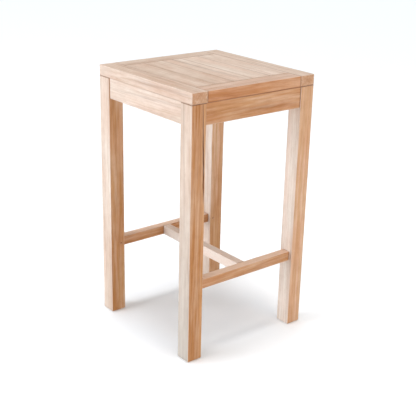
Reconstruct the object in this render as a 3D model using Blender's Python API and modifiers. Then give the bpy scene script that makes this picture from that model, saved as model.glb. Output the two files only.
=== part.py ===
"""A square teak bar stool with a footrest: four legs, four aprons, an H of stretchers and a slatted seat.

Metres, +Z up. The origin is on the floor, under the middle of the seat. The front is at -Y.
The joints are blind mortises and tenons held by dowel pegs, the seat is tongued and grooved,
and screws through four corner blocks hold it down on the base.
"""

import math

import bpy
import bmesh
from mathutils import Vector

# Overall sizes
SEAT_WIDTH = 0.420              # along X, over the legs
SEAT_DEPTH = 0.420              # along Y, over the legs
SEAT_HEIGHT = 0.750             # floor to the top of the seat

# How the pieces are fitted
FIT = 0.0003                    # clearance left all round between two pieces that touch
ARRIS = 0.0015                  # rounding of the edges that a hand touches
FINE_ARRIS = 0.0008             # rounding of the slats' edges and of the corner blocks'
ARRIS_STEPS = 2
OVERCUT = 0.002                 # how far a cutter or a tenon's root runs past the face it starts from

# Legs
LEG_SIDE = 0.046                # square section
FOOT_CHAMFER = 0.0025           # round the bottom end

# Aprons, the boards under the seat
APRON_HEIGHT = 0.058
APRON_THICKNESS = 0.022
APRON_SETBACK = 0.003           # behind the outer face of the legs
APRON_TENON_THICKNESS = 0.010
APRON_TENON_SHOULDER = 0.009    # above and below the tenon
WOOD_BETWEEN_TENONS = 0.003     # left in a leg between the tips of its two apron tenons

# Stretchers: front and back ones between the legs, and a cross one between those two
STRETCHER_HEIGHT = 0.028
STRETCHER_THICKNESS = 0.025
STRETCHER_TOP = 0.233           # the height of the footrest, for all three
STRETCHER_TENON_THICKNESS = 0.012
STRETCHER_TENON_SHOULDER = 0.005
STRETCHER_TENON_LENGTH = 0.024
CROSS_TENON_LENGTH = 0.015

# Seat frame: the side rails run through, the front and back rails fit between them
RAIL_WIDTH = 0.050
RAIL_THICKNESS = 0.030
RAIL_TENON_THICKNESS = 0.010
RAIL_TENON_WIDTH = 0.030
RAIL_TENON_LENGTH = 0.025

# Seat slats, which run from the front rail to the back rail
SLAT_COUNT = 5
SLAT_THICKNESS = 0.018
SLAT_GAP = 0.0008               # between slats, and between slats and rails
TONGUE_THICKNESS = 0.006
TONGUE_REACH = 0.007            # how far a tongue enters its groove

# Corner blocks, which are bars glued across the corners of the aprons
BLOCK_WIDTH = 0.022
BLOCK_HEIGHT = 0.028
LEG_TO_BLOCK = 0.0015           # clear space between a leg's inner edge and its block

# Dowel pegs, on the faces that look inwards or down
PEG_RADIUS = 0.004
CROSS_PEG_RADIUS = 0.003
PEG_COVER = 0.006               # wood left over the blind end of a peg
PEG_STAGGER = 0.010             # height of a peg above or below the middle of its apron
PEG_SIDES = 16

# Countersunk screws, up through the blocks into the seat rails
SCREW_RADIUS = 0.002
SCREW_HEAD_RADIUS = 0.004
SCREW_HEAD_DEPTH = 0.0025
SCREW_TIP = 0.004
SCREW_IN_RAIL = 0.016
SCREW_FROM_APRON = 0.012        # inwards from the apron's inner face
SCREW_SLOT_WIDTH = 0.001
SCREW_SLOT_DEPTH = 0.0012
SCREW_SIDES = 16

# Heights that follow from the sizes above
SEAT_UNDERSIDE = SEAT_HEIGHT - RAIL_THICKNESS
BASE_TOP = SEAT_UNDERSIDE - FIT
APRON_BOTTOM = BASE_TOP - APRON_HEIGHT
APRON_MIDDLE = BASE_TOP - APRON_HEIGHT / 2
STRETCHER_BOTTOM = STRETCHER_TOP - STRETCHER_HEIGHT
STRETCHER_MIDDLE = STRETCHER_TOP - STRETCHER_HEIGHT / 2
BLOCK_BOTTOM = BASE_TOP - BLOCK_HEIGHT
RAIL_MIDDLE = SEAT_HEIGHT - RAIL_THICKNESS / 2
SLAT_BOTTOM = SEAT_HEIGHT - SLAT_THICKNESS
TONGUE_BOTTOM = SEAT_HEIGHT - SLAT_THICKNESS / 2 - TONGUE_THICKNESS / 2
TONGUE_TOP = TONGUE_BOTTOM + TONGUE_THICKNESS

# Lines that follow from them, as distances inwards from the outer faces of the stool
APRON_INNER = APRON_SETBACK + APRON_THICKNESS
APRON_LINE = APRON_SETBACK + APRON_THICKNESS / 2
APRON_TENON_TIP = APRON_LINE + APRON_TENON_THICKNESS / 2 + WOOD_BETWEEN_TENONS
STRETCHER_LINE = LEG_SIDE / 2
STRETCHER_OUTER = STRETCHER_LINE - STRETCHER_THICKNESS / 2
STRETCHER_INNER = STRETCHER_LINE + STRETCHER_THICKNESS / 2
GROOVE_BOTTOM = RAIL_WIDTH - TONGUE_REACH
RAIL_TENON_LINE = (GROOVE_BOTTOM - FIT) / 2
BLOCK_LINE = LEG_SIDE + (LEG_TO_BLOCK + BLOCK_WIDTH / 2) / math.sqrt(2)

# A corner is (side, end): -1 is left or front, and 1 is right or back.
CORNERS = {
    "front_left": (-1, -1),
    "front_right": (1, -1),
    "back_left": (-1, 1),
    "back_right": (1, 1),
}
# Which way the piece on each face of the stool runs, and the corners it runs between.
FACES = {
    "front": ("x", "front_left", "front_right"),
    "back": ("x", "back_left", "back_right"),
    "left": ("y", "front_left", "back_left"),
    "right": ("y", "front_right", "back_right"),
}

COLOURS = {
    "leg_teak": (0.56, 0.36, 0.23, 1),
    "apron_teak": (0.56, 0.34, 0.20, 1),
    "stretcher_teak": (0.55, 0.33, 0.19, 1),
    "seat_rail_teak": (0.52, 0.33, 0.21, 1),
    "seat_slat_teak": (0.58, 0.41, 0.29, 1),
    "corner_block_teak": (0.54, 0.35, 0.22, 1),
    "peg_teak": (0.47, 0.28, 0.16, 1),
    "screw_steel": (0.62, 0.60, 0.55, 1),
}


def clear_scene():
    for item in list(bpy.data.objects):
        bpy.data.objects.remove(item)


def new_collection(name):
    collection = bpy.data.collections.new(name)
    bpy.context.scene.collection.children.link(collection)
    return collection


def new_empty(name, height):
    empty = bpy.data.objects.new(name, None)
    empty.location = (0, 0, height)
    parts.objects.link(empty)
    return empty


def make_finishes():
    """A Principled material for each kind of piece: dry sanded wood, and plated steel."""
    finishes = {}
    for name, colour in COLOURS.items():
        material = bpy.data.materials.new(name)
        material.use_nodes = True
        shader = material.node_tree.nodes["Principled BSDF"]
        metal = name == "screw_steel"
        shader.inputs["Base Color"].default_value = colour
        shader.inputs["Roughness"].default_value = 0.35 if metal else 0.75
        shader.inputs["Metallic"].default_value = 1.0 if metal else 0.0
        finishes[name] = material
    return finishes


def put_in(item, collection):
    for owner in list(item.users_collection):
        owner.objects.unlink(item)
    collection.objects.link(item)
    if collection is cutters:
        item.hide_render = True
        item.display_type = "WIRE"


def hold(item, material, holder):
    """Gives a piece its material, and parents it without moving it."""
    item.data.materials.append(finishes[material])
    item.parent = holder
    item.location -= holder.location


def place(corner, along, across, height, runs):
    """A point near one corner of the stool, by its distances inwards from the outer faces.

    along is measured the way a piece runs, which is "x" or "y", and across at right angles to it.
    """
    side, end = CORNERS[corner]
    from_side, from_end = (along, across) if runs == "x" else (across, along)
    return Vector((side * (SEAT_WIDTH / 2 - from_side), end * (SEAT_DEPTH / 2 - from_end), height))


def box(name, one_corner, other_corner, collection, grow=0.0):
    """A box between two opposite corners, grown all round, with its scale applied."""
    bpy.ops.mesh.primitive_cube_add(size=1, location=(one_corner + other_corner) / 2)
    item = bpy.context.object
    item.name = name
    item.scale = [abs(one - other) + 2 * grow for one, other in zip(one_corner, other_corner)]
    bpy.ops.object.transform_apply(location=False, rotation=False, scale=True)
    put_in(item, collection)
    return item


def cylinder(name, one_end, other_end, radius, collection):
    along = other_end - one_end
    bpy.ops.mesh.primitive_cylinder_add(
        vertices=PEG_SIDES,
        radius=radius,
        depth=along.length,
        location=(one_end + other_end) / 2,
        rotation=along.to_track_quat("Z", "Y").to_euler(),
    )
    item = bpy.context.object
    item.name = name
    put_in(item, collection)
    return item


def soften(item, width):
    modifier = item.modifiers.new("arris", "BEVEL")
    modifier.width = width
    modifier.segments = ARRIS_STEPS
    modifier.limit_method = "ANGLE"


def combine(item, operation, other):
    modifier = item.modifiers.new(other.name, "BOOLEAN")
    modifier.operation = operation
    modifier.object = other


def tenon_joint(piece, mate, corner, runs, line, thickness, shoulder, tip, bottom, top):
    """A blind tenon on the end of a piece, and its mortise in the piece that it enters.

    line is the middle of the tenon across the piece. shoulder and tip are along it.
    """
    name = f"{piece.name}_{mate.name}"
    tip_corner = place(corner, tip, line - thickness / 2, bottom, runs)
    root_corner = place(corner, shoulder + OVERCUT, line + thickness / 2, top, runs)
    combine(piece, "UNION", box(name + "_tenon", tip_corner, root_corner, cutters))
    combine(mate, "DIFFERENCE", box(name + "_mortise", tip_corner, root_corner, cutters, grow=FIT))


def peg_joint(name, open_end, blind_end, radius, pegged):
    """A dowel peg with one end on an open face, and its hole in each of the pieces it holds."""
    way = (blind_end - open_end).normalized()
    peg = cylinder(name, open_end + way * FIT, blind_end, radius, parts)
    peg.data.shade_smooth()
    peg.data.set_sharp_from_angle(angle=math.radians(40))
    hold(peg, "peg_teak", base)
    hole_start = open_end - way * OVERCUT
    hole_end = blind_end + way * FIT
    hole = cylinder(name + "_hole", hole_start, hole_end, radius + FIT, cutters)
    for piece in pegged:
        combine(piece, "DIFFERENCE", hole)


def peg_leg_joint(piece, corner, runs, tip, height):
    """The peg that goes in from the leg's inner face, through the middle of a tenon."""
    middle = (tip + LEG_SIDE) / 2
    peg_joint(
        f"peg_{piece.name}_{legs[corner].name}",
        place(corner, middle, LEG_SIDE, height, runs),
        place(corner, middle, PEG_COVER, height, runs),
        PEG_RADIUS,
        (piece, legs[corner]),
    )


def make_leg(corner):
    """A square post with rounded edges and a chamfer round its foot."""
    leg = box(
        "leg_" + corner,
        place(corner, 0, 0, 0, "x"),
        place(corner, LEG_SIDE, LEG_SIDE, BASE_TOP, "x"),
        parts,
    )
    shape = bmesh.new()
    shape.from_mesh(leg.data)
    foot = [edge for edge in shape.edges if all(vert.co.z < 0 for vert in edge.verts)]
    bmesh.ops.bevel(shape, geom=foot, offset=FOOT_CHAMFER, segments=1, affect="EDGES")
    # What is left to round: the long edges, the corners of the chamfer and the edges of the top.
    rounded = [
        edge
        for edge in shape.edges
        if edge.verts[0].co.z > 0 or abs(edge.verts[0].co.z - edge.verts[1].co.z) > FIT
    ]
    bmesh.ops.bevel(
        shape, geom=rounded, offset=ARRIS, segments=ARRIS_STEPS, profile=0.5, affect="EDGES"
    )
    shape.to_mesh(leg.data)
    shape.free()
    hold(leg, "leg_teak", base)
    return leg


def make_apron(face):
    """A board between two legs, tenoned and pegged into both."""
    runs, *corners = FACES[face]
    shoulder = LEG_SIDE + FIT
    apron = box(
        "apron_" + face,
        place(corners[0], shoulder, APRON_SETBACK, APRON_BOTTOM, runs),
        place(corners[1], shoulder, APRON_INNER, BASE_TOP, runs),
        parts,
    )
    soften(apron, ARRIS)
    hold(apron, "apron_teak", base)
    # Two pegs cross in each leg, so those of the front and back aprons lie above the others.
    peg_height = APRON_MIDDLE + (PEG_STAGGER if runs == "x" else -PEG_STAGGER)
    for corner in corners:
        tenon_joint(
            apron, legs[corner], corner, runs, APRON_LINE, APRON_TENON_THICKNESS, shoulder,
            APRON_TENON_TIP, APRON_BOTTOM + APRON_TENON_SHOULDER, BASE_TOP - APRON_TENON_SHOULDER,
        )
        peg_leg_joint(apron, corner, runs, APRON_TENON_TIP, peg_height)


def make_stretcher(face):
    """A footrest bar between two legs, on the middle line of the legs."""
    runs, *corners = FACES[face]
    shoulder = LEG_SIDE + FIT
    stretcher = box(
        "stretcher_" + face,
        place(corners[0], shoulder, STRETCHER_OUTER, STRETCHER_BOTTOM, runs),
        place(corners[1], shoulder, STRETCHER_INNER, STRETCHER_TOP, runs),
        parts,
    )
    soften(stretcher, ARRIS)
    hold(stretcher, "stretcher_teak", base)
    tip = LEG_SIDE - STRETCHER_TENON_LENGTH
    for corner in corners:
        tenon_joint(
            stretcher, legs[corner], corner, runs, STRETCHER_LINE, STRETCHER_TENON_THICKNESS,
            shoulder, tip, STRETCHER_BOTTOM + STRETCHER_TENON_SHOULDER,
            STRETCHER_TOP - STRETCHER_TENON_SHOULDER,
        )
        peg_leg_joint(stretcher, corner, runs, tip, STRETCHER_MIDDLE)
    return stretcher


def make_cross_stretcher(mates):
    """The bar that joins the middles of the front and back stretchers, flush with both."""
    middle = SEAT_WIDTH / 2
    shoulder = STRETCHER_INNER + FIT
    cross = box(
        "stretcher_cross",
        place("front_right", shoulder, middle - STRETCHER_THICKNESS / 2, STRETCHER_BOTTOM, "y"),
        place("back_right", shoulder, middle + STRETCHER_THICKNESS / 2, STRETCHER_TOP, "y"),
        parts,
    )
    soften(cross, ARRIS)
    hold(cross, "stretcher_teak", base)
    tip = STRETCHER_INNER - CROSS_TENON_LENGTH
    for mate, corner in zip(mates, ("front_right", "back_right")):
        tenon_joint(
            cross, mate, corner, "y", middle, STRETCHER_TENON_THICKNESS, shoulder, tip,
            STRETCHER_BOTTOM + STRETCHER_TENON_SHOULDER, STRETCHER_TOP - STRETCHER_TENON_SHOULDER,
        )
        peg_line = (tip + STRETCHER_INNER) / 2
        peg_joint(
            f"peg_{cross.name}_{mate.name}",
            place(corner, peg_line, middle, STRETCHER_BOTTOM, "y"),
            place(corner, peg_line, middle, STRETCHER_TOP - PEG_COVER, "y"),
            CROSS_PEG_RADIUS,
            (cross, mate),
        )


def make_seat_rails():
    """Side rails the full depth of the seat, front and back rails tenoned between them."""
    rails = {}
    for face in ("left", "right", "front", "back"):
        runs, *corners = FACES[face]
        start = RAIL_WIDTH + FIT if runs == "x" else 0
        rails[face] = box(
            "seat_rail_" + face,
            place(corners[0], start, 0, SEAT_UNDERSIDE, runs),
            place(corners[1], start, RAIL_WIDTH, SEAT_HEIGHT, runs),
            parts,
        )
        soften(rails[face], ARRIS)
        hold(rails[face], "seat_rail_teak", seat)
    for face in ("front", "back"):
        for side in ("left", "right"):
            tenon_joint(
                rails[face], rails[side], f"{face}_{side}", "x", RAIL_TENON_LINE,
                RAIL_TENON_WIDTH, RAIL_WIDTH + FIT, RAIL_WIDTH - RAIL_TENON_LENGTH,
                RAIL_MIDDLE - RAIL_TENON_THICKNESS / 2, RAIL_MIDDLE + RAIL_TENON_THICKNESS / 2,
            )
    groove = box(
        "seat_frame_groove",
        place("front_left", GROOVE_BOTTOM, GROOVE_BOTTOM, TONGUE_BOTTOM, "x"),
        place("back_right", GROOVE_BOTTOM, GROOVE_BOTTOM, TONGUE_TOP, "x"),
        cutters,
        grow=FIT,
    )
    for rail in rails.values():
        combine(rail, "DIFFERENCE", groove)
    return rails


def make_slats():
    """Boards with a tongue at both ends and on the right, which enters the next board's groove."""
    opening = SEAT_WIDTH - 2 * RAIL_WIDTH
    width = (opening - SLAT_GAP) / SLAT_COUNT - SLAT_GAP
    end = RAIL_WIDTH + SLAT_GAP
    for number in range(SLAT_COUNT):
        left = RAIL_WIDTH + SLAT_GAP + number * (width + SLAT_GAP)
        right = SEAT_WIDTH - left - width
        slat = box(
            f"slat_{number + 1}",
            place("front_left", left, end, SLAT_BOTTOM, "x"),
            place("back_right", right, end, SEAT_HEIGHT, "x"),
            parts,
        )
        soften(slat, FINE_ARRIS)
        # The first board has no neighbour on its left, so it has a tongue there too.
        first = number == 0
        tongue_start = GROOVE_BOTTOM if first else left + TONGUE_REACH + OVERCUT
        tongue = box(
            slat.name + "_tongue",
            place("front_left", tongue_start, GROOVE_BOTTOM, TONGUE_BOTTOM, "x"),
            place("back_right", right - SLAT_GAP - TONGUE_REACH, GROOVE_BOTTOM, TONGUE_TOP, "x"),
            cutters,
        )
        combine(slat, "UNION", tongue)
        if not first:
            groove = box(
                slat.name + "_groove",
                place("front_left", left - OVERCUT, GROOVE_BOTTOM, TONGUE_BOTTOM, "x"),
                place("back_right", SEAT_WIDTH - left - TONGUE_REACH, GROOVE_BOTTOM, TONGUE_TOP, "x"),
                cutters,
                grow=FIT,
            )
            combine(slat, "DIFFERENCE", groove)
        hold(slat, "seat_slat_teak", seat)


def make_corner_block(corner):
    """A bar at 45 degrees across a corner, trimmed to the inner faces of the two aprons."""
    side, end = CORNERS[corner]
    middle = place(corner, BLOCK_LINE, BLOCK_LINE, BASE_TOP - BLOCK_HEIGHT / 2, "x")
    half_size = Vector((BLOCK_LINE * math.sqrt(2), BLOCK_WIDTH / 2, BLOCK_HEIGHT / 2))
    block = box("corner_block_" + corner, middle - half_size, middle + half_size, parts)
    block.rotation_euler.z = math.radians(-45 * side * end)
    soften(block, FINE_ARRIS)
    for runs in ("x", "y"):
        trim = box(
            f"{block.name}_trim_{runs}",
            place(corner, -BLOCK_WIDTH, -BLOCK_WIDTH, BLOCK_BOTTOM - OVERCUT, runs),
            place(corner, 2 * BLOCK_LINE + BLOCK_WIDTH, APRON_INNER + FIT, BASE_TOP + OVERCUT, runs),
            cutters,
        )
        combine(block, "DIFFERENCE", trim)
    hold(block, "corner_block_teak", base)
    return block


def turned(name, profile, foot, collection):
    """A solid of revolution about the vertical line through foot, from (radius, height) points."""
    mesh = bpy.data.meshes.new(name)
    points = [(radius, 0, height) for radius, height in profile]
    mesh.from_pydata(points, [(at, at + 1) for at in range(len(points) - 1)], [])
    item = bpy.data.objects.new(name, mesh)
    item.location = foot
    put_in(item, collection)
    spin = item.modifiers.new("turned", "SCREW")
    spin.steps = spin.render_steps = SCREW_SIDES
    spin.use_merge_vertices = True
    spin.merge_threshold = 0.00001
    return item


def make_screw(name, foot, held):
    """A slotted countersunk screw with its head down at foot, and its hole in what it holds."""
    length = BLOCK_HEIGHT + FIT + SCREW_IN_RAIL
    screw = turned(
        name,
        [
            (0, length),
            (SCREW_RADIUS, length - SCREW_TIP),
            (SCREW_RADIUS, SCREW_HEAD_DEPTH),
            (SCREW_HEAD_RADIUS, 0),
            (0, 0),
        ],
        foot,
        parts,
    )
    half_slot = Vector((SCREW_HEAD_RADIUS + OVERCUT, SCREW_SLOT_WIDTH / 2, SCREW_SLOT_DEPTH))
    combine(screw, "DIFFERENCE", box(name + "_slot", foot - half_slot, foot + half_slot, cutters))
    hold(screw, "screw_steel", base)
    hole = turned(
        name + "_hole",
        [
            (0, length + FIT),
            (SCREW_RADIUS + FIT, length - SCREW_TIP + FIT),
            (SCREW_RADIUS + FIT, SCREW_HEAD_DEPTH),
            (SCREW_HEAD_RADIUS + FIT, 0),
            (SCREW_HEAD_RADIUS + FIT, -OVERCUT),
            (0, -OVERCUT),
        ],
        foot,
        cutters,
    )
    for piece in held:
        combine(piece, "DIFFERENCE", hole)


def make_screws(corner, block, rails):
    """One screw near each end of the block, up into the rail that lies over it."""
    from_face = APRON_INNER + SCREW_FROM_APRON
    for face in corner.split("_"):
        runs = FACES[face][0]
        foot = place(corner, 2 * BLOCK_LINE - from_face, from_face, BLOCK_BOTTOM, runs)
        make_screw(f"screw_{corner}_{face}", foot, (block, rails[face]))


clear_scene()
parts = new_collection("bar_stool_with_footrest")
cutters = new_collection("cutters")
finishes = make_finishes()
base = new_empty("base", 0)
seat = new_empty("seat", SEAT_UNDERSIDE)
legs = {corner: make_leg(corner) for corner in CORNERS}
for face_name in FACES:
    make_apron(face_name)
make_cross_stretcher([make_stretcher("front"), make_stretcher("back")])
seat_rails = make_seat_rails()
make_slats()
for corner_name in CORNERS:
    make_screws(corner_name, make_corner_block(corner_name), seat_rails)
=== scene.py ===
import math

import bmesh
import bpy
from mathutils import Euler, Matrix, Vector, noise


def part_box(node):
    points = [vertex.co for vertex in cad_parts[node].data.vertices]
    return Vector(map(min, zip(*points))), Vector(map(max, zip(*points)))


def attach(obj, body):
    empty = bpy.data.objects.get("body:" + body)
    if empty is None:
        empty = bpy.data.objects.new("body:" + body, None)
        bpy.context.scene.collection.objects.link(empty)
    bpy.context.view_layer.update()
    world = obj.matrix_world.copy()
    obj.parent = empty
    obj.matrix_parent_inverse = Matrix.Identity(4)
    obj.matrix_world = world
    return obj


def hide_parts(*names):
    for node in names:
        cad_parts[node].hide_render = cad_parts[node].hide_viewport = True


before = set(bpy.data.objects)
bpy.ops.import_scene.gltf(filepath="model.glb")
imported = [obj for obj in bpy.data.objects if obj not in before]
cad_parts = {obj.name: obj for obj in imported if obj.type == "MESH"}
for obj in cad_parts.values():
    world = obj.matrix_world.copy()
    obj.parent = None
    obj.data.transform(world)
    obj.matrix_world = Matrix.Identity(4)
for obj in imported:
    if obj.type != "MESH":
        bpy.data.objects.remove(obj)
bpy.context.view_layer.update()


# ---- The legs ---------------------------------------------------------------------------------
# Four posts, 46 mm square, of straight-grained teak, planed, sanded and left bare. Their long edges
# are eased by hand, their feet are chamfered, and their inner faces are chopped out for the tenons.

CLEARANCE = 0.0003          # what the joints are cut with, all round
OVERCUT = 0.002             # how far outside the wood a cut starts
ARRIS = 0.0016              # the widest that an edge is sanded off
ARRIS_STEPS = 3
SMOOTH = math.radians(40)   # the sharpest edge that is shaded smooth
FOOT_CHAMFER = 0.0025
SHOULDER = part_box("leg_back_right")[0].x - CLEARANCE     # of what is fitted between the legs


def only(piece):
    """Makes a piece the only one selected, and the active one."""
    bpy.ops.object.select_all(action="DESELECT")
    piece.select_set(True)
    bpy.context.view_layer.objects.active = piece


def node_box(node):
    return tuple(corner.copy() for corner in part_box(node))


def long_axis(low, high):
    size = high - low
    return max(range(3), key=lambda axis: size[axis])


def bar(name, low, high):
    """A squared length between two corners, with its place in its mesh."""
    bpy.ops.object.select_all(action="DESELECT")
    bpy.ops.mesh.primitive_cube_add(size=1, location=(low + high) / 2)
    piece = bpy.context.object
    piece.name = piece.data.name = name
    piece.scale = high - low
    bpy.ops.object.transform_apply(location=True, rotation=True, scale=True)
    return piece


def round_bar(name, low, high, axis, radius, sides=32):
    """A round length along one axis, down the middle of this box."""
    bpy.ops.object.select_all(action="DESELECT")
    way = Vector([1 if at == axis else 0 for at in range(3)])
    bpy.ops.mesh.primitive_cylinder_add(
        vertices=sides,
        radius=radius,
        depth=high[axis] - low[axis],
        location=(low + high) / 2,
        rotation=way.to_track_quat("Z", "Y").to_euler(),
    )
    piece = bpy.context.object
    piece.name = piece.data.name = name
    bpy.ops.object.transform_apply(location=True, rotation=True, scale=True)
    return piece


def select(piece, kind, wanted):
    """In edit mode, selects only the faces or the edges that are wanted."""
    bpy.ops.mesh.select_mode(type=kind)
    bpy.ops.mesh.select_all(action="DESELECT")
    mesh = bmesh.from_edit_mesh(piece.data)
    for element in mesh.faces if kind == "FACE" else mesh.edges:
        if wanted(element):
            element.select_set(True)
    bmesh.update_edit_mesh(piece.data)


def runs_along(edge, axis):
    return abs(edge.verts[0].co[axis] - edge.verts[1].co[axis]) > 0.9 * edge.calc_length()


def apply(piece, kind, **settings):
    only(piece)
    modifier = piece.modifiers.new(kind.lower(), kind)
    for setting, value in settings.items():
        setattr(modifier, setting, value)
    bpy.ops.object.modifier_apply(modifier=modifier.name)


def ease(piece, axis, widest=ARRIS, ends=0.0, spacing=0.03):
    """Sands off the long edges, a little more here and a little less there.

    ends is the share of that width which the edges of the two ends get.
    """
    only(piece)
    bpy.ops.object.mode_set(mode="EDIT")
    select(piece, "EDGE", lambda edge: runs_along(edge, axis) and edge.calc_length() > 2 * spacing)
    bpy.ops.mesh.subdivide(number_cuts=round(max(piece.dimensions) / spacing))
    mesh = bmesh.from_edit_mesh(piece.data)
    weight = mesh.edges.layers.float.new("bevel_weight_edge")
    for edge in mesh.edges:
        if edge.calc_face_angle(0) > math.radians(30):
            middle = (edge.verts[0].co + edge.verts[1].co) / 2
            share = 1 if runs_along(edge, axis) else ends
            # The width changes every few centimetres, and is at least 0.6 of the widest.
            edge[weight] = share * (0.8 + 0.2 * noise.noise(middle * 23))
    bmesh.update_edit_mesh(piece.data)
    bpy.ops.object.mode_set(mode="OBJECT")
    apply(piece, "BEVEL", width=widest, segments=ARRIS_STEPS, limit_method="WEIGHT")


def carve(piece, cutter, operation="DIFFERENCE"):
    apply(piece, "BOOLEAN", operation=operation, object=cutter)
    bpy.data.objects.remove(cutter)


def chop(piece, low, high):
    """Chops out the mortise or the groove for what fills this box."""
    clearance = Vector((CLEARANCE, CLEARANCE, CLEARANCE))
    carve(piece, bar("chisel", low - clearance, high + clearance))


def tenon(node, way, shoulder, outer, inner, above):
    """The box of the tenon on one end of a piece, from its tip to its shoulder.

    way is the end. outer, inner and above are how far in it lies from the faces of the piece.
    """
    low, high = node_box(node)
    axis = long_axis(low, high)
    across = 1 - axis
    in_front = low[across] + high[across] < 0
    low[across] += outer if in_front else inner
    high[across] -= inner if in_front else outer
    low.z += above
    high.z -= above
    if way < 0:
        high[axis] = -shoulder
    else:
        low[axis] = shoulder
    return low, high


def drill(piece, peg_node):
    """Drills the hole of a dowel peg, out through the face that its open end is in."""
    low, high = node_box(peg_node)
    axis = long_axis(low, high)
    across = (axis + 1) % 3
    radius = (high[across] - low[across]) / 2
    # The open end looks to the middle of the stool, or down.
    if axis == 2 or low[axis] + high[axis] > 0:
        low[axis] -= OVERCUT
        high[axis] += CLEARANCE
    else:
        low[axis] -= CLEARANCE
        high[axis] += OVERCUT
    carve(piece, round_bar("drill", low, high, axis, radius + CLEARANCE))


def copied(piece, name, shift=(0, 0, 0), turn=(0, 0, 0), mirror=()):
    """A copy of a piece with its own mesh, moved, turned, or on the other side of the stool."""
    only(piece)
    bpy.ops.object.duplicate()
    copy = bpy.context.object
    copy.name = copy.data.name = name
    copy.location = shift
    copy.rotation_euler = turn
    copy.scale = [-1 if axis in mirror else 1 for axis in range(3)]
    bpy.ops.object.transform_apply(location=True, rotation=True, scale=True)
    bpy.ops.object.mode_set(mode="EDIT")
    bpy.ops.mesh.select_all(action="SELECT")
    bpy.ops.mesh.normals_make_consistent(inside=False)
    bpy.ops.object.mode_set(mode="OBJECT")
    return copy


def split(piece, start, end, across, way, width, depth):
    """A drying split from start up to end: a thin wedge that wanders, and closes at both ends.

    It opens along the axis across, and goes into the wood along the vector way.
    """
    axis = long_axis(start, end)
    into = max(range(3), key=lambda at: abs(way[at]))
    inside = start[into] + way[into] * depth
    outside = start[into] - way[into] * OVERCUT / 2
    low, high = start.copy(), end.copy()
    low[across], high[across] = -width / 2, width / 2
    low[into], high[into] = min(inside, outside), max(inside, outside)
    wedge = bar("wedge", low, high)
    bpy.ops.object.mode_set(mode="EDIT")
    select(wedge, "EDGE", lambda edge: runs_along(edge, axis))
    bpy.ops.mesh.subdivide(number_cuts=30)
    mesh = bmesh.from_edit_mesh(wedge.data)
    for vert in mesh.verts:
        along = (vert.co[axis] - start[axis]) / (end[axis] - start[axis])
        opening = max(math.sin(math.pi * along), 0.02) ** 0.6
        deep = abs(vert.co[into] - inside) < abs(vert.co[into] - outside)
        side = vert.co[across] * opening * (0.15 if deep else 1)
        wander = noise.noise(Vector((along * 7, 1.0, 0))) * width
        vert.co[across] = start.lerp(end, along)[across] + side + wander
    bmesh.update_edit_mesh(wedge.data)
    bpy.ops.object.mode_set(mode="OBJECT")
    carve(piece, wedge)


def fit_out(piece, node, material):
    """Shades a finished piece, gives it its material, and puts it in place of its node."""
    only(piece)
    bpy.ops.object.shade_smooth_by_angle(angle=SMOOTH)
    apply(piece, "WEIGHTED_NORMAL", keep_sharp=True)
    piece.data.materials.clear()
    piece.data.materials.append(material)
    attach(piece, "root")
    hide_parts(node)


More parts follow.
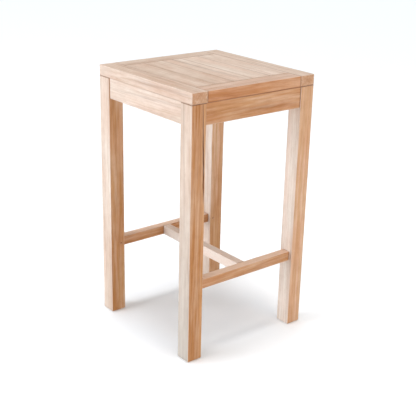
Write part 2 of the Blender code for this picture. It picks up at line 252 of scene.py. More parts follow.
def teak(name, box, axis, heart, seed, tone=0.0, lean=(0, 0), veined=0.0, **oddities):
    """Bare teak, cut out of one log: rings, fibres and pores that run through the whole piece.

    axis is the way of the grain. heart is where the middle of the log lies, across the grain, from
    the middle of the piece, and seed sets how far up the log the piece was cut. tone is lighter
    below 0 and darker above. lean, in degrees, is how far the log leans from the piece, which draws
    arches on its faces. veined is how strong the dark veins are. The oddities are:
    - askew, the angle from the way of the grain to that axis;
    - rosy, how pink the wood is in patches;
    - sapwood, an axis, the two places between which the wood turns paler, and how much;
    - sawn, how strong the painted shade and the darker figure are on the faces that look to the front
      or the back;
    - worn, how much its top is lightened, by wear from feet and by painted light where it lies in
      shade;
    - bleached, how much painted shade turns its sides greyer and darker towards the floor;
    - joints, the seams that are darkened with painted shade and some dirt, each an axis, a place
      along it and how much;
    - split, the foot and the top of a split in the front, which is painted dark with painted shade
      and dirt.
    """
    material = bpy.data.materials.new(name)
    material.use_nodes = True
    made_nodes = material.node_tree.nodes
    links = material.node_tree.links
    shader = made_nodes["Principled BSDF"]
    shader.inputs["Specular IOR Level"].default_value = 0.3

    def plug(value, socket):
        if hasattr(value, "is_output"):
            links.new(value, socket)
        else:
            socket.default_value = value

    def node(kind, inputs, output=0, **settings):
        made = made_nodes.new("ShaderNode" + kind)
        for setting, value in settings.items():
            setattr(made, setting, value)
        for socket, value in inputs.items():
            plug(value, made.inputs[socket])
        return made.outputs[output]

    def sum_of(*values):
        total = values[0]
        for value in values[1:]:
            total = node("Math", {0: total, 1: value}, operation="ADD")
        return total

    def times(one, other):
        return node("Math", {0: one, 1: other}, operation="MULTIPLY")

    def largest(one, other):
        return node("Math", {0: one, 1: other}, operation="MAXIMUM")

    def spread(value, low, high, to_low=0.0, to_high=1.0):
        return node("MapRange", {0: value, 1: low, 2: high, 3: to_low, 4: to_high})

    def grain(across, along, detail=2.0, roughness=0.5, output=0):
        """Soft streaks, this many to the metre across the grain and along it."""
        place = node("VectorMath", {0: in_log, 1: (across, across, along)}, operation="MULTIPLY")
        inputs = {"Vector": place, "Scale": 1.0, "Detail": detail, "Roughness": roughness}
        return node("TexNoise", inputs, output)

    def mixed(amount, one, other, blend="MIX"):
        inputs = {0: amount, 6: one, 7: other}
        return node("Mix", inputs, 2, data_type="RGBA", blend_type=blend)

    # The piece is laid in its log: the log's middle is the z axis, and the piece is off to one side.
    turn = {0: (0, -90, 0), 1: (90, 0, 0), 2: (0, 0, 0)}[axis]
    laid = Matrix.Identity(3)
    for angles in ((*lean, 0), turn, (0, 0, oddities.get("askew", 0))):
        laid = laid @ Euler([math.radians(angle) for angle in angles]).to_matrix()
    offset = Vector((-heart[0], -heart[1], seed * 1.37)) - laid @ ((box[0] + box[1]) / 2)
    coordinates = made_nodes.new("ShaderNodeTexCoord").outputs
    inputs = {"Vector": coordinates["Object"], "Location": offset, "Rotation": laid.to_euler()}
    in_log = node("Mapping", inputs)

    # Growth rings, which wander by up to 17 mm as they go up the log, each with a line of open pores.
    wander = grain(14, 2.2, 3.0, output=1)
    wander = node("VectorMath", {0: wander, 1: (0.5, 0.5, 0.5)}, operation="SUBTRACT")
    wander = node("VectorMath", {0: wander, 1: (0.035, 0.035, 0)}, operation="MULTIPLY")
    flat = node("VectorMath", {0: in_log, 1: (1, 1, 0)}, operation="MULTIPLY")
    wandered = node("VectorMath", {0: flat, 1: wander}, operation="ADD")
    radius = node("VectorMath", {0: wandered}, 1, operation="LENGTH")
    ring = node("ValToRGB", {0: node("Math", {0: times(radius, 1 / RING)}, operation="FRACT")})
    stops = ring.node.color_ramp.elements
    stops[0].position, stops[0].color = 0.0, (0.9, 0.9, 0.9, 1)
    stops[1].position, stops[1].color = 1.0, (0.8, 0.8, 0.8, 1)
    for position, level in ((0.12, 0.5), (0.35, 0.15), (0.75, 0.3)):
        stops.new(position).color = (level, level, level, 1)

    # Streaks of every width, from bands over the whole board to single fibres. What is added up below
    # runs from about 0, the palest wood, to 1, the darkest.
    bands = grain(30, 2.0, 3.0)
    blotches = grain(45, 30, 3.0)
    streaks = grain(130, 7, 4.0, 0.6)
    fibres = grain(700, 22, 2.0)
    pores = spread(grain(1500, 70, 1.0), 0.60, 0.72)
    veins = spread(grain(60, 1.6, 3.0, 0.65), 0.58, 0.72)

    darkness = sum_of(
        times(ring, 0.20),
        times(bands, 0.80),
        times(blotches, 0.30),
        times(streaks, 0.55),
        times(fibres, 0.30),
        tone - 0.62,
    )
    wood = node("ValToRGB", {0: darkness})
    stops = wood.node.color_ramp.elements
    stops[0].position, stops[0].color = 0.05, PALE
    stops[1].position, stops[1].color = 0.95, BROWN
    stops.new(0.35).color = STRAW
    stops.new(0.65).color = TAN
    rosy = oddities.get("rosy", 0.6)
    flush = spread(grain(25, 6.0, 2.0), 0.40, 0.62, rosy - 0.6, rosy)
    colour = mixed(flush, wood, ROSE, "MULTIPLY")
    colour = mixed(times(veins, veined), colour, VEIN)
    colour = mixed(times(pores, 0.35), colour, BROWN)

    place = node("SeparateXYZ", {0: coordinates["Object"]}).node.outputs
    if "sapwood" in oddities:
        across, start, end, share = oddities["sapwood"]
        here = sum_of(place[across], spread(streaks, 0, 1, -0.003, 0.003))
        colour = mixed(spread(here, start, end, 0.0, share), colour, PALE)

    # The cut ends look darker. Front and back faces get painted shade, in streaks of flat-sawn figure
    # that fade a little towards the seat. The eased edges are sanded bright, with a painted
    # highlight.
    outwards = node("VectorMath", {0: coordinates["Normal"]}, operation="ABSOLUTE")
    facing = node("SeparateXYZ", {0: outwards}).node.outputs
    colour = mixed(spread(facing[axis], 0.75, 0.97), colour, END_GRAIN, "MULTIPLY")
    figure_and_shade = spread(sum_of(times(streaks, 0.6), times(bands, 0.4)), 0.42, 0.58, 0.55, 1.0)
    figure_and_shade = times(figure_and_shade, spread(facing[1], 0.75, 0.97, 0.0, oddities.get("shaded_figure", 0.9)))
    figure_and_shade = times(figure_and_shade, spread(place[2], 0.10, 0.75, 1.0, 0.92))
    colour = mixed(figure_and_shade, colour, FIGURE_SHADE, "MULTIPLY")
    # The top is lightened: wear from feet, and painted light where the top lies in shade.
    if "worn" in oddities:
        up = node("SeparateXYZ", {0: coordinates["Normal"]}, 2)
        colour = mixed(spread(up, 0.75, 0.97, 0.0, oddities["worn"]), colour, WORN_AND_LIT)
    if "bleached" in oddities:
        # Painted shade: the sides turn greyer and darker towards the floor.
        here = times(spread(facing[0], 0.75, 0.97), spread(place[2], 0.55, 0.0))
        colour = mixed(times(here, oddities["bleached"]), colour, LOW_SHADE)
    # The eased edges are mixed towards pale: sanded bright, and with a painted highlight.
    flattest = largest(largest(facing[0], facing[1]), facing[2])
    colour = mixed(spread(flattest, 0.985, 0.80, 0.0, 0.45), colour, PALE)

    # Painted shade and some dirt darken the wood along the joints, more here and less there, but not
    # on the faces hidden in them.
    shade_and_dirt = 0.0
    for across, line, seam_shade_and_dirt in oddities.get("joints", ()):
        away = node("Math", {0: place[across], 1: line}, operation="SUBTRACT")
        away = node("Math", {0: away}, operation="ABSOLUTE")
        here = spread(away, 0.0009, 0.0026, seam_shade_and_dirt, 0.0)
        shade_and_dirt = largest(shade_and_dirt, times(here, spread(facing[across], 0.90, 0.97, 1.0, 0.0)))
    if "joints" in oddities:
        shade_and_dirt = times(shade_and_dirt, spread(bands, 0.35, 0.65, 1.0, 0.6))

    # The split, which is 8 mm deep, is painted dark, most of all low down in it: painted shade in its
    # hollow, and dirt.
    if "split" in oddities:
        foot, top = oddities["split"]
        line = spread(place[2], foot.z, top.z, foot.x, top.x)
        away = node("Math", {0: place[0], 1: line}, operation="SUBTRACT")
        away = node("Math", {0: away}, operation="ABSOLUTE")
        here = spread(away, 0.0010, 0.0030, 0.95, 0.0)
        here = times(here, spread(place[1], foot.y + 0.009, foot.y + 0.012, 1.0, 0.0))
        here = times(here, spread(place[2], foot.z, foot.z + 0.05))
        here = times(here, spread(place[2], foot.z + 0.14, foot.z + 0.20, 1.0, 0.5))
        shade_and_dirt = largest(shade_and_dirt, here)
    # The painted shade and dirt of the joints and the split darken the colour.
    colour = mixed(shade_and_dirt, colour, SEAM_SHADE_AND_DIRT)
    plug(colour, shader.inputs["Base Color"])

    rough = sum_of(fibres, times(pores, 0.3), times(blotches, 0.3))
    plug(spread(rough, 0.4, 1.0, 0.58, 0.82), shader.inputs["Roughness"])
    relief = sum_of(times(fibres, 0.7), times(streaks, 0.8), times(pores, -0.8), times(ring, -0.35))
    bump = node("Bump", {"Strength": 0.5, "Distance": 0.0004, "Height": relief})
    plug(bump, shader.inputs["Normal"])
    return material


RING = 0.008                # from one growth ring to the next
PALE = (0.80, 0.69, 0.60, 1)
STRAW = (0.67, 0.53, 0.43, 1)
TAN = (0.55, 0.39, 0.29, 1)
BROWN = (0.37, 0.22, 0.15, 1)
VEIN = (0.33, 0.21, 0.16, 1)
ROSE = (0.97, 0.86, 0.81, 1)
END_GRAIN = (0.93, 0.90, 0.88, 1)
# The painted shade of the faces that look to the front or the back, with their figure.
FIGURE_SHADE = (0.85, 0.555, 0.26, 1)
# The colour of the painted shade and dirt in the joints and in the split.
SEAM_SHADE_AND_DIRT = (0.19, 0.065, 0.02, 1)
# The colour of a top worn by feet and lightened with painted light.
WORN_AND_LIT = (0.90, 0.62, 0.45, 1)
# The grey of the painted shade low on the sides.
LOW_SHADE = (0.49, 0.51, 0.48, 1)

# The joints at the legs' inner faces: where the shoulder is, then how much wood the tenon leaves on
# its outer side, on its inner side, and above and below it.
APRON_JOINT = (SHOULDER, 0.006, 0.006, 0.009)
STRETCHER_JOINT = (SHOULDER, 0.0065, 0.0065, 0.005)

SEAT_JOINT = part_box("seat_rail_front")[0].z

# For each leg: the middle of its log, its place along it, its tone, how veined it is, and how
# strong the painted shade and the flat-sawn figure are on its front and back faces.
LEG_WOOD = {
    "front_left": ((0.16, -0.09), 3.1, 0.15, 0.60, 1.0),
    # The front right leg is paler, as painted light: its left face looks inwards, into the other
    # legs' shade.
    "front_right": ((-0.12, 0.15), 5.7, -0.19, 0.20, 0.7),
    "back_left": ((0.09, 0.17), 8.3, 0.01, 0.25, 1.0),
    "back_right": ((-0.18, -0.07), 2.4, -0.13, 0.20, 0.9),
}

low, high = node_box("leg_back_right")
leg = bar("back_right_leg", low, high)
bpy.ops.object.mode_set(mode="EDIT")
select(leg, "EDGE", lambda edge: all(vert.co.z < 0.001 for vert in edge.verts))
bpy.ops.mesh.bevel(offset=FOOT_CHAMFER, segments=1)
bpy.ops.object.mode_set(mode="OBJECT")
ease(leg, 2, ends=0.6)
chop(leg, *tenon("apron_back", 1, *APRON_JOINT))
chop(leg, *tenon("apron_right", 1, *APRON_JOINT))
chop(leg, *tenon("stretcher_back", 1, *STRETCHER_JOINT))
for held in ("apron_back", "apron_right", "stretcher_back"):
    drill(leg, f"peg_{held}_leg_back_right")
legs = {
    "back_right": leg,
    "back_left": copied(leg, "back_left_leg", mirror=(0,)),
    "front_right": copied(leg, "front_right_leg", mirror=(1,)),
    "front_left": copied(leg, "front_left_leg", mirror=(0, 1)),
}

# The front left leg has a long drying split down its front, 3 mm wide and 8 mm deep, and the wood
# beyond it is paler. Its sides are painted greyer and darker near the floor, as painted shade.
low, high = node_box("leg_front_left")
split_foot = Vector((low.x + 0.0425, low.y, 0.45))
split_top = Vector((low.x + 0.0350, low.y, 0.71))
split(legs["front_left"], split_foot, split_top, 0, Vector((0, 1, 0)), 0.003, 0.008)
for corner, leg in legs.items():
    heart, seed, tone, veined, shaded_figure = LEG_WOOD[corner]
    # Painted shade and dirt darken the seam under the seat, and the foot.
    oddities = {"joints": [(2, SEAT_JOINT, 0.9), (2, low.z, 0.5)], "shaded_figure": shaded_figure}
    if corner == "front_left":
        oddities.update(
            rosy=0.25,
            bleached=0.5,
            sapwood=(0, low.x + 0.033, low.x + 0.039, 0.35),
            split=(split_foot, split_top),
        )
    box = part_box("leg_" + corner)
    name = corner + "_leg_teak"
    wood = teak(name, box, 2, heart, seed, tone, (0.6, -0.5), veined, **oddities)
    fit_out(leg, "leg_" + corner, wood)


# ---- The aprons -------------------------------------------------------------------------------
# Four boards of teak on edge, 58 by 22 mm, that stand 3 mm behind the faces of the legs. Each end has
# a blind tenon 10 mm thick, which a dowel peg goes through.

TENON_INSET = 0.0005        # the first step in from the edges, before a tenon is drawn out


def member(name, node, shoulder, outer, inner, above):
    """A bar between two shoulders, with its long edges eased and a tenon on each end."""
    low, high = node_box(node)
    axis = long_axis(low, high)
    low[axis], high[axis] = -shoulder, shoulder
    piece = bar(name, low, high)
    ease(piece, axis)
    bpy.ops.object.mode_set(mode="EDIT")
    for way in (-1, 1):
        near, far = tenon(node, way, shoulder, outer, inner, above)
        section = far - near
        length = section[axis]
        section[axis] = 0
        select(piece, "FACE", lambda face: face.normal[axis] * way > 0.99)
        bpy.ops.mesh.inset(thickness=TENON_INSET)
        mesh = bmesh.from_edit_mesh(piece.data)
        spots = [vert.co for face in mesh.faces if face.select for vert in face.verts]
        least = Vector([min(spot[at] for spot in spots) for at in range(3)])
        most = Vector([max(spot[at] for spot in spots) for at in range(3)])
        middle = (least + most) / 2
        aim = (near + far) / 2
        aim[axis] = middle[axis]
        ratio = [section[at] / (most[at] - least[at]) if at != axis else 1 for at in range(3)]
        bpy.ops.transform.resize(value=ratio, center_override=middle)
        bpy.ops.transform.translate(value=aim - middle)
        push = Vector([way * length if at == axis else 0 for at in range(3)])
        bpy.ops.mesh.extrude_region_move(TRANSFORM_OT_translate={"value": push})
    bpy.ops.object.mode_set(mode="OBJECT")
    return piece


# For each apron: the middle of its log, its place along it, its tone, and how veined it is.
APRON_WOOD = {
    "front": ((0.05, 0.11), 1.3, 0.08, 0.45),
    "left": ((-0.04, 0.12), 4.4, -0.05, 0.55),
    "back": ((0.07, -0.10), 7.2, 0.02, 0.30),
    "right": ((-0.06, -0.13), 9.6, 0.0, 0.30),
}

aprons = {}
for face, opposite, across in (("front", "back", 1), ("left", "right", 0)):
    apron = member(face + "_apron", "apron_" + face, *APRON_JOINT)
    for peg_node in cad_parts:
        if peg_node.startswith(f"peg_apron_{face}"):
            drill(apron, peg_node)
    aprons[face] = apron
    aprons[opposite] = copied(apron, opposite + "_apron", mirror=(across,))
for face, apron in aprons.items():
    heart, seed, tone, veined = APRON_WOOD[face]
    axis = 0 if face in ("front", "back") else 1
    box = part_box("apron_" + face)
    # The seams are darkened with painted shade and dirt, less on the left apron, which faces the
    # light.
    seam_shade_and_dirt, end_shade_and_dirt = (0.4, 0.15) if face == "left" else (0.95, 0.6)
    joints = [(2, SEAT_JOINT, seam_shade_and_dirt), (axis, -SHOULDER, end_shade_and_dirt), (axis, SHOULDER, end_shade_and_dirt)]
    oddities = {"joints": joints}
    if face == "front":
        oddities["sapwood"] = (2, 0.688, 0.712, 0.2)
    name = face + "_apron_teak"
    wood = teak(name, box, axis, heart, seed, tone, (1.5, 1.0), veined, **oddities)
    fit_out(apron, "apron_" + face, wood)


# ---- The stretchers ---------------------------------------------------------------------------
# Three bars of teak, 28 by 25 mm, make the footrest. Two join the legs at the front and the back, and
# the third is tenoned between the middles of those two. Their tops are level.

CROSS_JOINT = (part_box("stretcher_back")[0].y - CLEARANCE, 0.0065, 0.0065, 0.005)

# For each stretcher: the middle of its log, its place along it, its tone, and how veined it is.
STRETCHER_WOOD = {
    "front": ((0.03, 0.14), 2.2, 0.12, 0.35),
    "back": ((-0.05, 0.10), 6.1, 0.06, 0.35),
    # The cross stretcher is pale, as painted light, because it lies in the seat's shade.
    "cross": ((0.12, 0.04), 3.7, -0.42, 0.10),
}

stretchers = {"front": member("front_stretcher", "stretcher_front", *STRETCHER_JOINT)}
chop(stretchers["front"], *tenon("stretcher_cross", -1, *CROSS_JOINT))
for peg_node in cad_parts:
    if peg_node.startswith("peg_stretcher_front_leg") or peg_node.endswith("cross_stretcher_front"):
        drill(stretchers["front"], peg_node)
stretchers["back"] = copied(stretchers["front"], "back_stretcher", mirror=(1,))
stretchers["cross"] = member("cross_stretcher", "stretcher_cross", *CROSS_JOINT)
for end in ("front", "back"):
    drill(stretchers["cross"], "peg_stretcher_cross_stretcher_" + end)
for place, stretcher in stretchers.items():
    heart, seed, tone, veined = STRETCHER_WOOD[place]
    axis, shoulder = (1, CROSS_JOINT[0]) if place == "cross" else (0, SHOULDER)
    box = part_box("stretcher_" + place)
    # Painted shade and dirt darken the seams at the ends.
    joints = [(axis, -shoulder, 0.6), (axis, shoulder, 0.6)]
    name = place + "_stretcher_teak"
    # The tops are lightened by wear from feet and by painted light, as they lie in the seat's shade.
    worn = 0.2 if place == "cross" else 0.65
    wood = teak(name, box, axis, heart, seed, tone, (0.8, 1.2), veined, joints=joints, worn=worn)
    fit_out(stretcher, "stretcher_" + place, wood)


# ---- The dowel pegs ---------------------------------------------------------------------------
# Turned teak dowels, driven through the tenons from the faces that look inwards or down, where they
# don't show, and cut off a hair below the surface. Their hidden ends are chamfered.

PEG_CHAMFER = 0.0008
PEG_RIM = 0.0002            # the bevel round the cut end
PEG_CROWN = 0.0001          # how far the middle of the cut end stands up


def dowel(name, radius, length):
    """An upright dowel with its middle at the origin and its cut end on top."""
    half = Vector((radius, radius, length / 2))
    piece = round_bar(name, -half, half, 2, radius)
    bpy.ops.object.mode_set(mode="EDIT")
    select(piece, "EDGE", lambda edge: all(vert.co.z < 0 for vert in edge.verts))
    bpy.ops.mesh.bevel(offset=PEG_CHAMFER, segments=2)
    select(piece, "EDGE", lambda edge: all(vert.co.z > 0 for vert in edge.verts))
    bpy.ops.mesh.bevel(offset=PEG_RIM, segments=1)
    select(piece, "FACE", lambda face: face.normal.z > 0.9)
    bpy.ops.mesh.inset(thickness=radius * 0.4)
    bpy.ops.transform.translate(value=(0, 0, PEG_CROWN))
    bpy.ops.object.mode_set(mode="OBJECT")
    return piece


# One dowel of each length is turned and then copied. All the pegs that lie one way share their wood.
masters = {}
peg_wood = {}
for peg_node in [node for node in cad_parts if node.startswith("peg_")]:
    low, high = node_box(peg_node)
    axis = long_axis(low, high)
    length = round(high[axis] - low[axis], 4)
    radius = round((high[(axis + 1) % 3] - low[(axis + 1) % 3]) / 2, 4)
    if length not in masters:
        masters[length] = dowel("dowel", radius, length - PEG_CROWN)
    if axis not in peg_wood:
        name = "peg_teak_" + "xyz"[axis]
        peg_wood[axis] = teak(name, (low, high), axis, (0.05, 0.08), axis, 0.20)
    # The cut end looks to the middle of the stool, or down.
    open_way = -1 if axis == 2 or low[axis] + high[axis] > 0 else 1
    way = Vector([open_way if at == axis else 0 for at in range(3)])
    name = peg_node.replace("peg_", "dowel_").replace("_leg_", "_")
    turn = way.to_track_quat("Z", "Y").to_euler()
    peg = copied(masters[length], name, (low + high) / 2, turn)
    fit_out(peg, peg_node, peg_wood[axis])
for dowel_made in masters.values():
    bpy.data.objects.remove(dowel_made)


# ---- The corner blocks ------------------------------------------------------------------------
# Four offcuts of teak, 28 by 22 mm, glued across the inside corners of the aprons, with their ends
# sawn at 45 degrees. Each is bored and countersunk from below for two screws.

BLOCK_WIDTH = 0.022
BLOCK_BLANK = 0.150         # the length of the bar, before its ends are sawn off
FINE_ARRIS = 0.0009
BORE_RADIUS = 0.0023
COUNTERSINK_RADIUS = 0.0051
COUNTERSINK_DEPTH = 0.0035
BLOCK_WOOD = {              # the tone of each
    "back_right": 0.03,
    "back_left": 0.06,
    "front_right": -0.02,
    "front_left": 0.04,
}


def screw_hole(piece, screw_node):
    """Bores and countersinks for a screw that comes up from below."""
    low, high = node_box(screw_node)
    start = low.copy()
    start.z -= OVERCUT
    end = high.copy()
    end.z += CLEARANCE
    carve(piece, round_bar("drill", start, end, 2, BORE_RADIUS))
    bpy.ops.object.select_all(action="DESELECT")
    middle = (low + high) / 2
    middle.z = low.z + (COUNTERSINK_DEPTH - OVERCUT) / 2
    bpy.ops.mesh.primitive_cone_add(
        vertices=32,
        radius1=COUNTERSINK_RADIUS,
        radius2=BORE_RADIUS,
        depth=COUNTERSINK_DEPTH,
        location=middle,
    )
    countersink = bpy.context.object
    bpy.ops.object.transform_apply(location=True, rotation=True, scale=True)
    carve(piece, countersink)


# The block is a bar at 45 degrees whose two ends reach the inner faces of the aprons.
low, high = node_box("corner_block_back_right")
end_line = high.x
line = (low.x + high.x + BLOCK_WIDTH / math.sqrt(2)) / 2
middle = Vector((line, line, (low.z + high.z) / 2))
half = Vector((BLOCK_BLANK, BLOCK_WIDTH, high.z - low.z)) / 2
block = bar("back_right_corner_block", middle - half, middle + half)
ease(block, 0, FINE_ARRIS)
bpy.ops.object.mode_set(mode="EDIT")
bpy.ops.mesh.select_all(action="SELECT")
bpy.ops.transform.rotate(value=math.radians(45), orient_axis="Z", center_override=middle)
for way in ((1, 0, 0), (0, 1, 0)):
    bpy.ops.mesh.select_all(action="SELECT")
    bpy.ops.mesh.bisect(
        plane_co=(end_line, end_line, 0), plane_no=way, use_fill=True, clear_outer=True
    )
bpy.ops.object.mode_set(mode="OBJECT")
for face in ("back", "right"):
    screw_hole(block, "screw_back_right_" + face)
blocks = {
    "back_right": block,
    "back_left": copied(block, "back_left_corner_block", mirror=(0,)),
    "front_right": copied(block, "front_right_corner_block", mirror=(1,)),
    "front_left": copied(block, "front_left_corner_block", mirror=(0, 1)),
}
for number, (corner, block) in enumerate(blocks.items()):
    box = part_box("corner_block_" + corner)
    askew = -45 if corner in ("back_left", "front_right") else 45
    name = corner + "_block_teak"
    wood = teak(name, box, 0, (0.07, 0.05), number, BLOCK_WOOD[corner], askew=askew)
    fit_out(block, "corner_block_" + corner, wood)


# ---- The seat frame ---------------------------------------------------------------------------
# Four flat rails of teak, 50 by 30 mm. The side rails run the full depth, so their end grain shows at
# the front and back. The front and back rails are tenoned between them, and all four are grooved.

RAIL_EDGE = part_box("seat_rail_right")[0].x              # where the slats' opening starts
RAIL_JOINT = (RAIL_EDGE - CLEARANCE, 0.00635, 0.01365, 0.010)
GROOVE_WALL = 0.006         # the wood above a groove, and above and below a tongue

# For each rail: the middle of its log, its place along it, its tone, how veined and how rosy it is.
RAIL_WOOD = {
    "left": ((0.10, 0.06), 2.9, -0.02, 0.45, 0.7),
    "right": ((-0.07, 0.09), 5.1, -0.01, 0.40, 0.1),
    "front": ((0.04, 0.10), 8.8, 0.04, 0.40, 1.3),
    "back": ((-0.09, 0.07), 1.9, 0.05, 0.40, 0.0),
}

groove_low, groove_high = node_box("slat_1")[0], node_box("slat_5")[1]
groove_low.z += GROOVE_WALL
groove_high.z -= GROOVE_WALL

low, high = node_box("seat_rail_right")
rail = bar("right_seat_rail", low, high)
ease(rail, 1, ends=1.0)
for face in ("front", "back"):
    chop(rail, *tenon("seat_rail_" + face, 1, *RAIL_JOINT))
    screw_hole(rail, f"screw_{face}_right_right")
chop(rail, groove_low, groove_high)
rails = {"right": rail, "left": copied(rail, "left_seat_rail", mirror=(0,))}
rail = member("back_seat_rail", "seat_rail_back", *RAIL_JOINT)
for side in ("left", "right"):
    screw_hole(rail, f"screw_back_{side}_back")
chop(rail, groove_low, groove_high)
rails["back"] = rail
rails["front"] = copied(rail, "front_seat_rail", mirror=(1,))
for face, rail in rails.items():
    heart, seed, tone, veined, rosy = RAIL_WOOD[face]
    axis = 0 if face in ("front", "back") else 1
    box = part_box("seat_rail_" + face)
    inner_edge = RAIL_EDGE if face in ("back", "right") else -RAIL_EDGE
    # The seams are darkened with painted shade and dirt, less on the left rail and at the left ends,
    # which face the light.
    seam_shade_and_dirt = 0.4 if face == "left" else 0.95
    joints = [(2, SEAT_JOINT, seam_shade_and_dirt), (1 - axis, inner_edge, 0.9 if face == "back" else 0.5)]
    if axis == 0:
        joints += [(0, -RAIL_EDGE, 0.35), (0, RAIL_EDGE, 0.8)]
    name = face + "_seat_rail_teak"
    # Painted shade on the faces that look to the front or the back: the front and back rails' long
    # faces, and the side rails' ends.
    oddities = {"joints": joints, "rosy": rosy, "shaded_figure": 0.9 if axis == 0 else 0.55}
    wood = teak(name, box, axis, heart, seed, tone, (1.0, -1.2), veined, **oddities)
    fit_out(rail, "seat_rail_" + face, wood)


# ---- The slats --------------------------------------------------------------------------------
# Five boards of teak, 18 mm thick, run from front to back. They are tongued all round into the rails
# and into each other, dry, with a gap of 0.8 mm so that they can swell.

SLAT_GAP = 0.0008
TONGUE_REACH = 0.007
TONGUE_ROOT = 0.002         # how far a tongue starts inside its board
SLATS = 5
slat_step = (2 * RAIL_EDGE - SLAT_GAP) / SLATS
slat_width = slat_step - SLAT_GAP

# For each slat: the middle of its log, its place along it, its tone, and how veined it is.
SLAT_WOOD = (
    ((0.09, 0.05), 3.3, 0.04, 0.50),
    ((-0.03, 0.12), 6.6, 0.05, 0.55),
    ((0.05, 0.08), 1.1, -0.06, 0.50),
    ((-0.08, 0.06), 9.9, -0.12, 0.40),
    ((0.02, 0.15), 4.2, -0.17, 0.30),
)


def slat(name, number):
    """A board with its tongues, and a groove on the left for the tongue of the board before it."""
    plate_low, plate_high = node_box(f"slat_{number}")
    low, high = plate_low.copy(), plate_high.copy()
    low.x = -RAIL_EDGE + SLAT_GAP + (number - 1) * slat_step
    high.x = low.x + slat_width
    low.y, high.y = -RAIL_EDGE + SLAT_GAP, RAIL_EDGE - SLAT_GAP
    board = bar(name, low, high)
    ease(board, 1, FINE_ARRIS, ends=1.0)
    plate_low.z += GROOVE_WALL
    plate_high.z -= GROOVE_WALL
    if number > 1:
        plate_low.x = low.x + TONGUE_REACH + TONGUE_ROOT
    carve(board, bar("tongue", plate_low, plate_high), "UNION")
    if number > 1:
        plate_low.x, plate_high.x = low.x - OVERCUT, low.x + TONGUE_REACH
        chop(board, plate_low, plate_high)
    return board


boards = [slat("seat_slat_1", 1), slat("seat_slat_2", 2)]
for number in range(3, SLATS + 1):
    shift = ((number - 2) * slat_step, 0, 0)
    boards.append(copied(boards[1], f"seat_slat_{number}", shift))
for number, board in enumerate(boards, start=1):
    heart, seed, tone, veined = SLAT_WOOD[number - 1]
    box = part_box(f"slat_{number}")
    left_edge = -RAIL_EDGE + (number - 1) * slat_step
    right_edge = left_edge + slat_step
    # Painted shade and dirt darken the gaps between the boards and along the rails.
    joints = [(0, left_edge, 0.5), (0, right_edge, 0.5), (1, -RAIL_EDGE, 0.5), (1, RAIL_EDGE, 0.8)]
    name = f"slat_{number}_teak"
    wood = teak(name, box, 1, heart, seed, tone, (0.7, 0.8), veined, joints=joints)
    fit_out(board, f"slat_{number}", wood)


# ---- The screws -------------------------------------------------------------------------------
# Eight countersunk wood screws, slotted, of zinc-plated steel. They go up through the corner blocks
# and hold the seat frame down.

HEAD_RADIUS = 0.0040
HEAD_RIM = 0.0002           # the bevel round the flat of the head
HEAD_DEPTH = 0.0023
SHANK_RADIUS = 0.0017
THREAD_RADIUS = 0.0020
SHANK_LENGTH = 0.0150       # from the head to the first thread
TIP_LENGTH = 0.0040
THREADS = 14


def wood_screw(name, length):
    """A screw that stands on its head at the origin, with its slot along x."""
    bpy.ops.object.select_all(action="DESELECT")
    bpy.ops.mesh.primitive_circle_add(vertices=32, radius=HEAD_RADIUS - HEAD_RIM, fill_type="NGON")
    piece = bpy.context.object
    piece.name = piece.data.name = name
    bpy.ops.object.mode_set(mode="EDIT")
    bpy.ops.mesh.select_all(action="SELECT")

    def turn(up, start_radius, end_radius):
        bpy.ops.mesh.extrude_region_move(TRANSFORM_OT_translate={"value": (0, 0, up)})
        ratio = end_radius / start_radius
        bpy.ops.transform.resize(value=(ratio, ratio, 1))

    turn(HEAD_RIM, HEAD_RADIUS - HEAD_RIM, HEAD_RADIUS)
    turn(HEAD_DEPTH, HEAD_RADIUS, SHANK_RADIUS)
    turn(SHANK_LENGTH, SHANK_RADIUS, SHANK_RADIUS)
    pitch = (length - HEAD_RIM - HEAD_DEPTH - SHANK_LENGTH - TIP_LENGTH) / THREADS
    for _ in range(THREADS):
        turn(pitch * 0.35, SHANK_RADIUS, THREAD_RADIUS)
        turn(pitch * 0.35, THREAD_RADIUS, SHANK_RADIUS)
        turn(pitch * 0.30, SHANK_RADIUS, SHANK_RADIUS)
    turn(TIP_LENGTH, SHANK_RADIUS, 0.08 * SHANK_RADIUS)
    bpy.ops.mesh.select_all(action="SELECT")
    bpy.ops.mesh.normals_make_consistent(inside=False)
    bpy.ops.object.mode_set(mode="OBJECT")
    # The slot is 1 mm wide and 1.2 mm deep, right across the head.
    half = Vector((1.5 * HEAD_RADIUS, 0.0005, 0.0012))
    carve(piece, bar("slot", -half, half))
    return piece


# Dull plating, blotched and finely scratched.
steel = bpy.data.materials.new("zinc_plated_steel")
steel.use_nodes = True
nodes = steel.node_tree.nodes
links = steel.node_tree.links
shader = nodes["Principled BSDF"]
shader.inputs["Metallic"].default_value = 1.0
coordinates = nodes.new("ShaderNodeTexCoord")
blotch = nodes.new("ShaderNodeTexNoise")
blotch.inputs["Scale"].default_value = 600
blotch.inputs["Detail"].default_value = 4
links.new(coordinates.outputs["Object"], blotch.inputs["Vector"])
plating = nodes.new("ShaderNodeValToRGB")
stops = plating.color_ramp.elements
stops[0].position, stops[0].color = 0.3, (0.42, 0.41, 0.38, 1)
stops[1].position, stops[1].color = 0.7, (0.68, 0.66, 0.60, 1)
links.new(blotch.outputs[0], plating.inputs[0])
links.new(plating.outputs[0], shader.inputs["Base Color"])
dullness = nodes.new("ShaderNodeMapRange")
dullness.inputs["To Min"].default_value = 0.25
dullness.inputs["To Max"].default_value = 0.5
links.new(blotch.outputs[0], dullness.inputs[0])
links.new(dullness.outputs[0], shader.inputs["Roughness"])
scratches = nodes.new("ShaderNodeBump")
scratches.inputs["Strength"].default_value = 0.3
scratches.inputs["Distance"].default_value = 0.0001
links.new(blotch.outputs[0], scratches.inputs["Height"])
links.new(scratches.outputs[0], shader.inputs["Normal"])

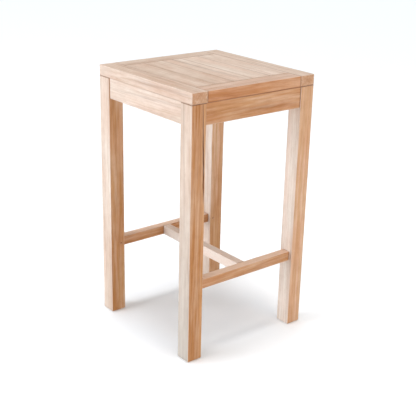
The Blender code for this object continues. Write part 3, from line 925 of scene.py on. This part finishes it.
low, high = node_box("screw_back_right_back")
master = wood_screw("wood_screw", high.z - low.z)
for screw_node in [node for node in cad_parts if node.startswith("screw_")]:
    low, high = node_box(screw_node)
    foot = (low + high) / 2
    foot.z = low.z
    screw = copied(master, "wood_" + screw_node, foot)
    fit_out(screw, screw_node, steel)
bpy.data.objects.remove(master)


# ---- The studio -------------------------------------------------------------------------------
# A plain white floor, which can be seen through from below, against a white backdrop. Two wide soft
# lights hang overhead, a large cool one stands at the left, and a weak warm one at the front.

FLOOR_GAP = 0.0004          # so that the undersides of the feet don't lie in it
bpy.ops.object.select_all(action="DESELECT")
bpy.ops.mesh.primitive_plane_add(size=60, location=(0, 0, -FLOOR_GAP))
floor = bpy.context.object
floor.name = "floor"
paint = bpy.data.materials.new("white_floor")
paint.use_nodes = True
nodes = paint.node_tree.nodes
links = paint.node_tree.links
shader = nodes["Principled BSDF"]
shader.inputs["Base Color"].default_value = (0.925, 0.945, 0.96, 1)
shader.inputs["Roughness"].default_value = 0.9
shader.inputs["Specular IOR Level"].default_value = 0.1
# It is clear from below, and to the light that comes up under the feet.
clear = nodes.new("ShaderNodeBsdfTransparent")
side = nodes.new("ShaderNodeNewGeometry")
ray = nodes.new("ShaderNodeLightPath")
under_foot = nodes.new("ShaderNodeMath")
under_foot.operation = "LESS_THAN"
under_foot.inputs[1].default_value = 3 * FLOOR_GAP
links.new(ray.outputs["Ray Length"], under_foot.inputs[0])
see_through = nodes.new("ShaderNodeMath")
see_through.operation = "MAXIMUM"
links.new(side.outputs["Backfacing"], see_through.inputs[0])
links.new(under_foot.outputs[0], see_through.inputs[1])
either = nodes.new("ShaderNodeMixShader")
links.new(see_through.outputs[0], either.inputs[0])
links.new(shader.outputs[0], either.inputs[1])
links.new(clear.outputs[0], either.inputs[2])
links.new(either.outputs[0], nodes["Material Output"].inputs["Surface"])
floor.data.materials.append(paint)

# The backdrop is as white as the far floor, and it is also what lights the feet from below.
world = bpy.data.worlds.new("studio")
bpy.context.scene.world = world
world.use_nodes = True
nodes = world.node_tree.nodes
links = world.node_tree.links
glow = nodes["Background"]
glow.inputs["Color"].default_value = (0.86, 1.0, 1.12, 1)
glow.inputs["Strength"].default_value = 0.14
backdrop = nodes.new("ShaderNodeBackground")
backdrop.inputs["Color"].default_value = (0.93, 0.975, 1.0, 1)
seen = nodes.new("ShaderNodeLightPath")
direction = nodes.new("ShaderNodeTexCoord")
height = nodes.new("ShaderNodeSeparateXYZ")
links.new(direction.outputs["Generated"], height.inputs[0])
below = nodes.new("ShaderNodeMath")
below.operation = "LESS_THAN"
below.inputs[1].default_value = 0
links.new(height.outputs["Z"], below.inputs[0])
white = nodes.new("ShaderNodeMath")
white.operation = "MAXIMUM"
links.new(seen.outputs["Is Camera Ray"], white.inputs[0])
links.new(below.outputs[0], white.inputs[1])
either = nodes.new("ShaderNodeMixShader")
links.new(white.outputs[0], either.inputs[0])
links.new(glow.outputs[0], either.inputs[1])
links.new(backdrop.outputs[0], either.inputs[2])
links.new(either.outputs[0], nodes["World Output"].inputs["Surface"])


def sky(name, angle, energy):
    """A light from high overhead, from a disc this many degrees wide."""
    light = bpy.data.lights.new(name, "SUN")
    light.angle = math.radians(angle)
    light.energy = energy
    lamp = bpy.data.objects.new(name, light)
    lamp.rotation_euler = Vector((0, -0.01, -1)).to_track_quat("-Z", "Y").to_euler()
    bpy.context.scene.collection.objects.link(lamp)


sky("overhead", 20, 1.48)
sky("ceiling", 100, 1.42)


def soft_light(name, place, size, power, colour):
    """A square light that points at the middle of the stool."""
    light = bpy.data.lights.new(name, "AREA")
    light.shape = "SQUARE"
    light.size = size
    light.energy = power
    light.color = colour
    lamp = bpy.data.objects.new(name, light)
    lamp.location = place
    lamp.rotation_euler = (Vector((0, 0, 0.4)) - lamp.location).to_track_quat("-Z", "Y").to_euler()
    bpy.context.scene.collection.objects.link(lamp)


soft_light("left_side", (-4.5, 1.6, 1.6), 3.0, 172, (0.92, 1.0, 1.09))
soft_light("front", (0.3, -3.5, 0.9), 2.0, 40, (1, 0.64, 0.36))

# The camera looks down at the front left corner, from half a metre above the seat.
CAMERA_PLACE = (-1.506, -1.865, 1.245)
CAMERA_HEADING = math.radians(-39.29)
CAMERA_DIP = math.radians(20.63)
CAMERA_ROLL = math.radians(1.40)
camera_data = bpy.data.cameras.new("camera")
camera_data.lens = 76.2
camera = bpy.data.objects.new("camera", camera_data)
camera.matrix_world = (
    Matrix.Translation(CAMERA_PLACE)
    @ Matrix.Rotation(CAMERA_HEADING, 4, "Z")
    @ Matrix.Rotation(math.radians(90) - CAMERA_DIP, 4, "X")
    @ Matrix.Rotation(CAMERA_ROLL, 4, "Z")
)
bpy.context.scene.collection.objects.link(camera)
bpy.context.scene.camera = camera
bpy.context.scene.view_settings.view_transform = "Standard"
